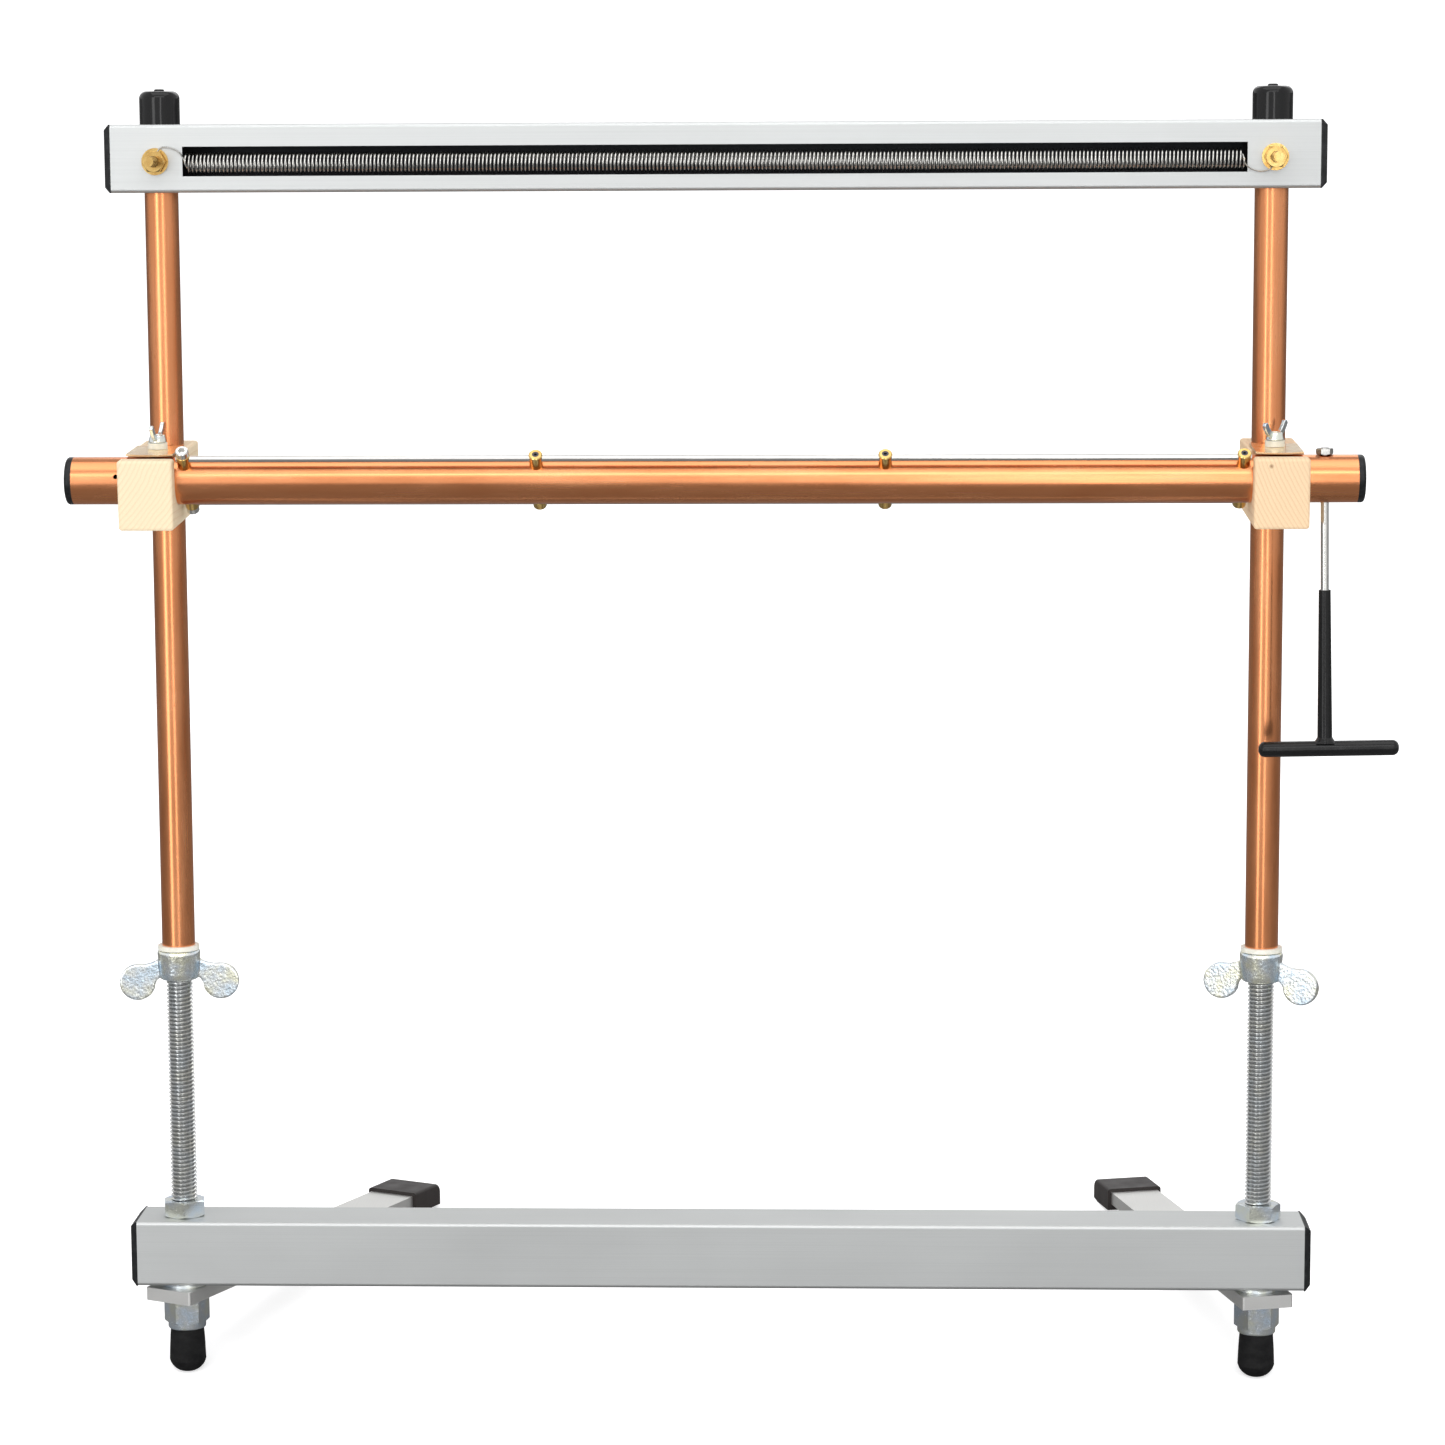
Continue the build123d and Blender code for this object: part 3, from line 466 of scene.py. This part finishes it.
# ---- plastics, rubber, nylon and wood ----
def dipped_vinyl(name, low, high, dark, dusty):
    """Soft black vinyl: gloss broken by slow sags of the dip and by fine dust."""
    material, tree, shader = new_material(name)
    sags = grain(tree, (0.10, 0.10, 0.05), 2.0, 0.4)
    dust = grain(tree, (2.2, 2.2, 2.2), 4.0, 0.7)
    tone = ramp(tree, dust, [(0.4, dark), (0.8, dusty)])
    rough = add(tree, "ShaderNodeMath", {
        0: spread(tree, sags, low, high, 0.3, 0.7), 1: spread(tree, dust, -0.02, 0.06),
    }, operation="ADD")
    tree.links.new(tone, shader.inputs["Base Color"])
    tree.links.new(rough, shader.inputs["Roughness"])
    tree.links.new(bump(tree, dust, 0.004, 1.0, bump(tree, sags, 0.25)), shader.inputs["Normal"])
    shader.inputs["Specular IOR Level"].default_value = 0.3
    return material


def moulded_plastic(name):
    """Hard black plug: fine spark texture and paler scuffs scattered by noise."""
    material, tree, shader = new_material(name)
    spark = grain(tree, (3.0, 3.0, 3.0), 4.0, 0.65)
    scuffs = grain(tree, (0.25, 0.25, 0.25), 4.0, 0.7, 0.4)
    tone = ramp(tree, scuffs, [(0.45, (0.004, 0.005, 0.006)), (0.75, (0.020, 0.021, 0.023))])
    shader.inputs["Specular IOR Level"].default_value = 0.3
    rough = spread(tree, spark, 0.30, 0.46, 0.3, 0.7)
    tree.links.new(tone, shader.inputs["Base Color"])
    tree.links.new(rough, shader.inputs["Roughness"])
    tree.links.new(bump(tree, spark, 0.012), shader.inputs["Normal"])
    return material


def soft_rubber(name):
    material, tree, shader = new_material(name)
    fine = grain(tree, (1.6, 1.6, 1.6), 5.0, 0.7)
    wear = grain(tree, (0.15, 0.15, 0.3), 3.0, 0.6)
    tone = ramp(tree, wear, [(0.35, (0.004, 0.004, 0.0045)), (0.75, (0.012, 0.012, 0.012))])
    shader.inputs["Specular IOR Level"].default_value = 0.18
    rough = spread(tree, fine, 0.5, 0.72, 0.3, 0.7)
    tree.links.new(tone, shader.inputs["Base Color"])
    tree.links.new(rough, shader.inputs["Roughness"])
    tree.links.new(bump(tree, fine, 0.03), shader.inputs["Normal"])
    return material


def milky_nylon(name):
    material, tree, shader = new_material(name)
    haze = grain(tree, (0.35, 0.35, 0.35), 3.0, 0.5)
    fine = grain(tree, (2.5, 2.5, 2.5), 3.0, 0.6)
    tone = ramp(tree, haze, [(0.3, (0.72, 0.70, 0.60)), (0.7, (0.84, 0.83, 0.75))])
    rough = spread(tree, fine, 0.28, 0.42, 0.3, 0.7)
    tree.links.new(tone, shader.inputs["Base Color"])
    tree.links.new(rough, shader.inputs["Roughness"])
    tree.links.new(bump(tree, fine, 0.006), shader.inputs["Normal"])
    shader.inputs["Subsurface Weight"].default_value = 0.25
    shader.inputs["Subsurface Radius"].default_value = (0.002, 0.0018, 0.0014)
    return material


def maple(name, heart, pale, line, spacing, knot):
    """Sanded hard maple cut with its growth rings about a line parallel to Y, far off at heart (x, z)."""
    material, tree, shader = new_material(name)
    here = place_in_loom(tree)
    split = tree.nodes.new("ShaderNodeSeparateXYZ")
    tree.links.new(here, split.inputs[0])
    wander = grain(tree, (0.05, 0.012, 0.05), 3.0, 0.5)
    far = {}
    for axis, centre in zip("XZ", heart):
        offset = add(tree, "ShaderNodeMath", {0: split.outputs[axis], 1: centre}, operation="SUBTRACT")
        far[axis] = add(tree, "ShaderNodeMath", {0: offset, 1: 2.0}, operation="POWER")
    squared = add(tree, "ShaderNodeMath", {0: far["X"], 1: far["Z"]}, operation="ADD")
    radius = add(tree, "ShaderNodeMath", {0: squared}, operation="SQRT")
    waved = add(tree, "ShaderNodeMath", {0: wander, 1: 2.0 * spacing, 2: radius}, operation="MULTIPLY_ADD")
    turns = add(tree, "ShaderNodeMath", {0: waved, 1: spacing}, operation="DIVIDE")
    ring = add(tree, "ShaderNodeMath", {0: turns}, operation="FRACT")
    year = ramp(tree, ring, [
        (0.0, line), (0.10, [0.4 * a + 0.6 * b for a, b in zip(line, pale)]), (0.45, pale),
        (0.86, [0.15 * a + 0.85 * b for a, b in zip(line, pale)]), (0.97, line),
    ])
    fibres = grain(tree, (1.6, 0.05, 1.6), 4.0, 0.65)
    pores = grain(tree, (4.5, 0.35, 4.5), 2.0, 0.5)
    clouds = grain(tree, (0.06, 0.02, 0.06), 2.0, 0.5)
    toned = mixed(tree, spread(tree, clouds, 0.0, 0.35, 0.35, 0.7), year, [0.93 * c for c in pale])
    fibred = mixed(tree, spread(tree, fibres, 0.0, 0.35, 0.45, 0.8), toned, [0.78 * c for c in line])
    dotted = mixed(tree, spread(tree, pores, 0.0, 0.45, 0.68, 0.78), fibred, [0.55 * c for c in line])
    from_knot = add(tree, "ShaderNodeVectorMath", {0: here, 1: knot}, "Value", operation="DISTANCE")
    with_knot = mixed(tree, spread(tree, from_knot, 0.75, 0.0, 0.3, 1.3), dotted, (0.20, 0.09, 0.035))
    rough = spread(tree, fibres, 0.48, 0.66, 0.3, 0.7)
    tree.links.new(with_knot, shader.inputs["Base Color"])
    tree.links.new(rough, shader.inputs["Roughness"])
    first = bump(tree, ring, 0.02)
    tree.links.new(bump(tree, fibres, 0.035, 1.0, first), shader.inputs["Normal"])
    shader.inputs["Specular IOR Level"].default_value = 0.3
    return material


# ---- one finish for every CAD node that stays in view ----
# centre heights and wall depth of the beam tubes, which place the painted shade inside them
BEAM_MIDDLES = [sum(corner.z for corner in extent(node)) / 2 for node in ("bottom_beam", "top_beam")]
BEAM_SKIN = extent("bottom_beam")[1].y - 0.5
ALUMINIUM_BEAM = satin_aluminium("beam_aluminium", "X", (0.635, 0.65, 0.645), 1.0, BEAM_MIDDLES, BEAM_SKIN)
ALUMINIUM_BAR = satin_aluminium("bar_aluminium", "Y", (0.80, 0.80, 0.78), 0.6)
COPPER_PIPE = drawn_copper("copper_pipe", "Z")
COPPER_TUBE = drawn_copper("copper_tube", "X")
ZINC = bright_zinc("zinc_nut", 0.0, (0.74, 0.79, 0.82), 0.8)
ROD_LOW, ROD_HIGH = extent("threaded_rod_right")
PIPE_X = (ROD_LOW.x + ROD_HIGH.x) / 2
ROD_PITCH = 25.4 / 13
ROD_CREST = (ROD_HIGH.x - ROD_LOW.x) / 2
CREST_WIDTH = 0.3              # bright band below the crest, left free of the painted root shade
# radii where the thread's painted root shade is strongest and where it fades out
ROD_FLANK = (ROD_CREST - THREAD_DEPTH * ROD_PITCH, ROD_CREST - CREST_WIDTH)
ZINC_ROD = bright_zinc("zinc_rod", 0.0, (0.88, 0.89, 0.88), 0.25, ROD_FLANK)
CAST_ZINC = bright_zinc("cast_zinc", 0.35, (0.88, 0.92, 0.92), 1.0)
BRASS = turned_brass("brass")
SCREW_BRASS = turned_brass("screw_brass", extent("beam_screw_nuts")[0].y)
STRIP = sprung_copper("spring_bronze")
BRIGHT_STEEL = drawn_steel("bright_steel", (0.72, 0.71, 0.68), 0.12, 0.24)
SPRING_STEEL = drawn_steel("spring_steel", (0.62, 0.61, 0.58), 0.16, 0.30)
DARK_STEEL = drawn_steel("dark_steel", (0.10, 0.10, 0.105), 0.3, 0.5)
VINYL = dipped_vinyl("black_vinyl", 0.07, 0.14, (0.003, 0.0032, 0.0035), (0.012, 0.012, 0.012))
GRIP_VINYL = dipped_vinyl("grip_vinyl", 0.14, 0.24, (0.004, 0.0042, 0.0045), (0.015, 0.015, 0.015))
LEG_VINYL = dipped_vinyl("leg_vinyl", 0.30, 0.45, (0.022, 0.018, 0.017), (0.040, 0.034, 0.032))
PLUG = moulded_plastic("black_plug")
RUBBER = soft_rubber("black_rubber")
NYLON = milky_nylon("white_nylon")
KNOT = (257.0, -59.5, 385.0)   # a pin knot in the right block's front face
NO_KNOT = (0, 0, 0)            # nowhere near any wood
MAPLE = {
    "left": maple("maple_left", (-392.0, 458.0), (0.85, 0.71, 0.49), (0.78, 0.60, 0.38), 2.1, NO_KNOT),
    "right": maple("maple_right", (398.0, 438.0), (0.84, 0.63, 0.40), (0.74, 0.49, 0.29), 1.9, KNOT),
}
FINISH = {
    "bottom_beam": ALUMINIUM_BEAM, "top_beam": ALUMINIUM_BEAM,
    "leg_left": ALUMINIUM_BAR, "leg_right": ALUMINIUM_BAR,
    "bottom_beam_end_plugs": PLUG, "top_beam_end_plugs": PLUG, "shed_tube_end_caps": PLUG,
    "rod_hex_nuts": ZINC, "leg_washers": ZINC, "lock_nuts": ZINC, "lock_nut_inserts": NYLON,
    "rubber_feet": RUBBER, "leg_cap_left": LEG_VINYL, "leg_cap_right": LEG_VINYL,
    "side_pipe_left": COPPER_PIPE, "side_pipe_right": COPPER_PIPE, "pipe_caps": VINYL,
    "beam_screws": SCREW_BRASS, "beam_screw_nuts": BRASS, "beam_screw_washers": BRASS,
    "pipe_washers": NYLON,
    "clamp_block_left": MAPLE["left"], "clamp_block_right": MAPLE["right"],
    "hold_down_straps": STRIP, "clamp_screws": ZINC, "clamp_spacers": NYLON,
    "shed_tube": COPPER_TUBE, "heddle_posts": BRASS, "heddle_rod_upper": BRIGHT_STEEL,
    "heddle_rod_lower": BRIGHT_STEEL, "post_set_screws": DARK_STEEL, "post_cap_screws": BRIGHT_STEEL,
    "handle_shaft": BRIGHT_STEEL, "handle_nut": BRIGHT_STEEL, "handle_grip": GRIP_VINYL,
}
for node, material in FINISH.items():
    mesh = NODES[node].data
    mesh.materials.clear()
    mesh.materials.append(material)


# ---- threaded rods ----
def threaded_rods():
    for side in SIDES:
        node = f"threaded_rod_{side}"
        low, high = extent(node)
        centre = (low + high) / 2
        rod = thread(high.x - low.x, ROD_PITCH, low.z, high.z, 32)
        rod = placed(rod, Matrix.Translation((centre.x, centre.y, 0)))
        piece(f"rod_thread_{side}", rod, node, ZINC_ROD, 50)


# ---- the warp coil, one wire from screw to screw ----
COIL_WIRE = 0.72
COIL_PITCH = 25.4 / 14
COIL_STEPS = 20                # points in one turn
COIL_INSET = 14.2              # from a screw's axis to the coil's end turn
HOOK_BORE = 2.5                # inside radius of the wire's hooks
WIRE_GAP = 1.0                 # beam's face to the bridging wire


def warp_wire():
    low, high = extent("warp_coil")
    radius = (high.z - low.z - COIL_WIRE) / 2
    middle = (low + high) / 2
    front = extent("top_beam")[0].y
    screws = {side: extent("beam_screws", sign) for side, sign in SIDES.items()}
    screw_z = (screws["left"][0].z + screws["left"][1].z) / 2
    pipe_x = {side: (box[0].x + box[1].x) / 2 for side, box in screws.items()}
    start, end = pipe_x["left"] + COIL_INSET, pipe_x["right"] - COIL_INSET
    turns = int((end - start) / COIL_PITCH)
    helix = []
    for i in range(turns * COIL_STEPS + 1):
        angle = math.tau * i / COIL_STEPS + math.pi
        helix.append(Vector((
            start + COIL_PITCH * i / COIL_STEPS,
            middle.y + radius * math.cos(angle),
            middle.z - radius * math.sin(angle),
        )))
    out = front - WIRE_GAP - COIL_WIRE / 2
    hook = HOOK_BORE + COIL_WIRE / 2

    def hooked(side, degrees):
        """Places round a screw at the given angles: 0 to its right, 90 above it."""
        places = []
        for angle in map(math.radians, degrees):
            across = hook * math.cos(angle)
            above = hook * math.sin(angle)
            places.append(Vector((pipe_x[side] + across, out, screw_z + above)))
        return places

    def bridge(side, steps_out):
        """Places between coil and screw as (inwards from the screw's axis, above it, behind)."""
        return [
            Vector((pipe_x[side] - SIDES[side] * inwards, out + behind, screw_z + above))
            for inwards, above, behind in steps_out
        ]

    left = hooked("left", range(270, 80, -20))
    left += bridge("left", (
        (3.0, 6.4, 0), (6.6, 6.5, 0), (10.2, 5.1, 0), (12.5, 3.0, 0.2), (13.9, 0.2, 0.6), (15.2, -3.0, 1.2),
    ))
    right = bridge("right", (
        (15.2, 1.2, 0.8), (14.6, -2.2, 0.3), (11.8, -5.2, 0), (7.2, -6.6, 0), (3.0, -6.0, 0),
    ))
    right += hooked("right", range(270, 450, 20))
    path = smooth_path(left, 4) + helix + smooth_path(right, 4)
    piece("warp_coil_wire", wire(path, COIL_WIRE / 2, 6), "warp_coil", SPRING_STEEL, 60)


# ---- wing nuts ----
BIG_WING_HALF = 1.9            # half a cast wing's thickness
EAR_HALF = 0.85                # half a pressed ear's thickness


def cast_skin(amount, size):
    """A function that moves each point of a mesh a little in and out, like a cast surface."""

    def roughen(mesh):
        mesh.update()
        moves = []
        for vertex in mesh.vertices:
            coarse = noise.fractal(vertex.co / size, 0.9, 2.1, 4)
            moves.append(vertex.normal * amount * coarse)
        for vertex, move in zip(mesh.vertices, moves):
            vertex.co += move

    return roughen


def round_tip(centre, radius, first, last, count):
    """Points of an arc about (x, z), from the first to the last angle in degrees."""
    first, last = math.radians(first), math.radians(last)
    angles = [first + (last - first) * i / count for i in range(count + 1)]
    return [(centre[0] + radius * math.cos(a), centre[1] + radius * math.sin(a)) for a in angles]


def big_wing_outline(hand):
    """A wing that leaves the hub in a hollow curve and ends in a round drooping tab."""
    arc = round_tip((20.0, -15.9), 8.7, 98, -158, 24)
    top_root, bottom_root = (6.5, -2.4), (6.5, -12.6)
    points = [top_root, *bend(top_root, (12.2, -7.6), arc[0], 8), *arc[1:]]
    points += bend(arc[-1], (11.6, -13.6), bottom_root, 6)
    return [(hand * x, z) for x, z in points]


def seat(node, end):
    """A nut's own axes on its joint: X to a wing, origin at its lowest place (end is min) or its
    highest (end is max)."""
    joint = JOINTS[f"{node}_turn"]
    origin = TO_LOOM @ Vector(joint["pos_m"])
    up = (TO_LOOM.to_3x3() @ Vector(joint["axis"])).normalized()
    points = [TO_LOOM @ vertex.co - origin for vertex in NODES[node].data.vertices]
    height = end(p.dot(up) for p in points)
    spokes = [p - up * p.dot(up) for p in points]
    far = max(spokes, key=lambda p: p.length)
    tips = [p for p in spokes if p.length > 0.97 * far.length and p.dot(far) > 0]
    out = sum(tips, Vector()).normalized()
    axes = Matrix((out, up.cross(out), up)).transposed().to_4x4()
    return Matrix.Translation(origin + up * height) @ axes


def big_wing_nuts():
    hub = [
        (6.5, -0.1), (9.3, -0.1), (10.1, -0.6), (10.35, -1.6), (10.0, -6.0), (9.5, -12.0),
        (9.1, -14.0), (8.3, -14.5), (6.5, -14.5),
    ]
    nut = joined(lathe(hub, 72), *(slab(big_wing_outline(hand), BIG_WING_HALF) for hand in (-1, 1)))
    for side in SIDES:
        node = f"wing_nut_{side}"
        shape = placed(nut, seat(node, max))
        piece(f"cast_{node}", shape, node, CAST_ZINC, 80, voxel=0.42, roughen=cast_skin(0.06, 0.95))


def small_wing_outline(hand):
    """A flat ear that rises from the hub's side to a round tip."""
    arc = round_tip((8.35, 7.35), 1.55, -38, 128, 14)
    low_root, high_root = (2.6, 0.8), (2.6, 3.7)
    points = [low_root, *bend(low_root, (6.6, 1.4), arc[0], 8), *arc[1:]]
    points += bend(arc[-1], (4.9, 4.4), high_root, 6)
    return [(hand * x, z) for x, z in points]


def small_wing_nuts():
    hub = [(2.2, 0.0), (3.9, 0.0), (4.2, 0.35), (3.55, 3.3), (3.2, 3.75), (2.2, 3.8)]
    nut = joined(lathe(hub, 48), *(slab(small_wing_outline(hand), EAR_HALF) for hand in (-1, 1)))
    for side in SIDES:
        node = f"clamp_wing_nut_{side}"
        shape = placed(nut, seat(node, min))
        piece(f"pressed_{node}", shape, node, ZINC, 80, voxel=0.2, roughen=cast_skin(0.04, 1.2))


threaded_rods()
warp_wire()
big_wing_nuts()
small_wing_nuts()


# ---- camera, light and floor ----
CAMERA_PLACE = Vector((70.48, -1960.34, 529.98))
CAMERA_YAW, CAMERA_PITCH, CAMERA_ROLL = (math.radians(a) for a in (1.976, 7.883, 0.264))
CAMERA_LENS = 103.14
CAMERA_SENSOR = 36.0


def camera():
    """A camera placed and turned in the loom's own axes."""
    data = bpy.data.cameras.new("camera")
    data.lens = CAMERA_LENS
    data.sensor_width = CAMERA_SENSOR
    made = bpy.data.objects.new("camera", data)
    bpy.context.scene.collection.objects.link(made)
    turn = Matrix.Rotation(CAMERA_YAW, 4, "Z") @ Matrix.Rotation(math.pi / 2 - CAMERA_PITCH, 4, "X")
    turn = turn @ Matrix.Rotation(-CAMERA_ROLL, 4, "Z")
    loom_turn = LOOM.to_3x3().normalized().to_4x4()
    made.matrix_world = Matrix.Translation(LOOM @ CAMERA_PLACE) @ loom_turn @ turn
    bpy.context.scene.camera = made


def soft_box(name, place, aim, size, radiance):
    """A soft box: its power is worked out from how bright its face should look."""
    data = bpy.data.lights.new(name, "AREA")
    data.shape = "RECTANGLE"
    data.size, data.size_y = size
    data.energy = radiance * math.pi * size[0] * size[1]
    made = bpy.data.objects.new(name, data)
    bpy.context.scene.collection.objects.link(made)
    made.location = place
    made.rotation_euler = (Vector(aim) - Vector(place)).to_track_quat("-Z", "Y").to_euler()


FLOOR_REACH = 14.0
FLOOR_LIFT = 0.55              # glow that only camera rays see


def floor():
    """A plain pale floor that stays white far behind the loom, and looks greyer in reflections."""
    mesh = bpy.data.meshes.new("floor")
    far = FLOOR_REACH
    corners = [(-far, -far, 0), (far, -far, 0), (far, far, 0), (-far, far, 0)]
    mesh.from_pydata(corners, [], [(0, 1, 2, 3)])
    made = bpy.data.objects.new("floor", mesh)
    bpy.context.scene.collection.objects.link(made)
    material, tree, shader = new_material("floor")
    mirrored = add(tree, "ShaderNodeLightPath", {}, "Is Glossy Ray")
    colour = mixed(tree, mirrored, (0.80, 0.80, 0.80), (0.22, 0.22, 0.22))
    tree.links.new(colour, shader.inputs["Base Color"])
    shader.inputs["Roughness"].default_value = 0.9
    shader.inputs["Specular IOR Level"].default_value = 0.1
    shader.inputs["Emission Color"].default_value = (1, 1, 1, 1)
    lift = add(tree, "ShaderNodeLightPath", {}, "Is Camera Ray")
    tree.links.new(spread(tree, lift, 0.0, FLOOR_LIFT), shader.inputs["Emission Strength"])
    mesh.materials.append(material)


# the room's brightness at each angle in degrees: straight down, round by the front, overhead, back
ROOM = (
    (-90, 0.2), (-12, 0.3), (-3, 0.8), (8, 1.0), (40, 1.0),
    (75, 0.8), (110, 0.45), (150, 0.5), (176, 0.75),
)
ROOM_STRENGTH = 1.05
LIGHT_AIM = (0, 0, 0.35)


def studio():
    """A pale room that surfaces reflect, a white one that the camera sees, and soft boxes."""
    world = bpy.data.worlds.new("studio")
    bpy.context.scene.world = world
    world.use_nodes = True
    tree = world.node_tree
    tree.nodes.clear()
    here = add(tree, "ShaderNodeTexCoord", {}, "Generated")
    split = tree.nodes.new("ShaderNodeSeparateXYZ")
    tree.links.new(here, split.inputs[0])
    forward = add(tree, "ShaderNodeMath", {0: split.outputs["Y"], 1: -1.0}, operation="MULTIPLY")
    climb = add(tree, "ShaderNodeMath", {0: split.outputs["Z"], 1: forward}, operation="ARCTAN2")
    arch = ramp(tree, spread(tree, climb, 0.0, 1.0, -math.pi, math.pi), [
        ((angle + 180) / 360, (level, level, level * 1.01)) for angle, level in ROOM
    ])
    sideways = add(tree, "ShaderNodeMath", {0: split.outputs["X"]}, operation="ABSOLUTE")
    walls = mixed(tree, spread(tree, sideways, 0.0, 1.0, 0.35, 0.8), arch, (0.85, 0.85, 0.86))
    around = add(tree, "ShaderNodeBackground", {"Color": walls, "Strength": ROOM_STRENGTH})
    seen = add(tree, "ShaderNodeBackground", {"Color": (1, 1, 1, 1), "Strength": ROOM_STRENGTH})
    path = add(tree, "ShaderNodeLightPath", {}, "Is Camera Ray")
    both = tree.nodes.new("ShaderNodeMixShader")
    tree.links.new(path, both.inputs[0])
    tree.links.new(around, both.inputs[1])
    tree.links.new(seen, both.inputs[2])
    out = tree.nodes.new("ShaderNodeOutputWorld")
    tree.links.new(both.outputs[0], out.inputs["Surface"])
    soft_box("strip_left", (-1.15, -1.85, 0.80), LIGHT_AIM, (0.50, 1.6), 2.8)
    soft_box("strip_front", (0.27, -2.0, 0.85), LIGHT_AIM, (0.22, 1.5), 3.2)
    soft_box("boom", (0.1, -1.7, 1.95), LIGHT_AIM, (2.2, 0.45), 2.6)
    soft_box("overhead", (0.0, 0.0, 2.7), (0, 0, 0), (2.6, 2.0), 1.3)
    soft_box("behind", (0.3, 2.3, 1.6), LIGHT_AIM, (2.2, 1.0), 1.2)
    bpy.context.scene.view_settings.view_transform = "Standard"


camera()
floor()
studio()
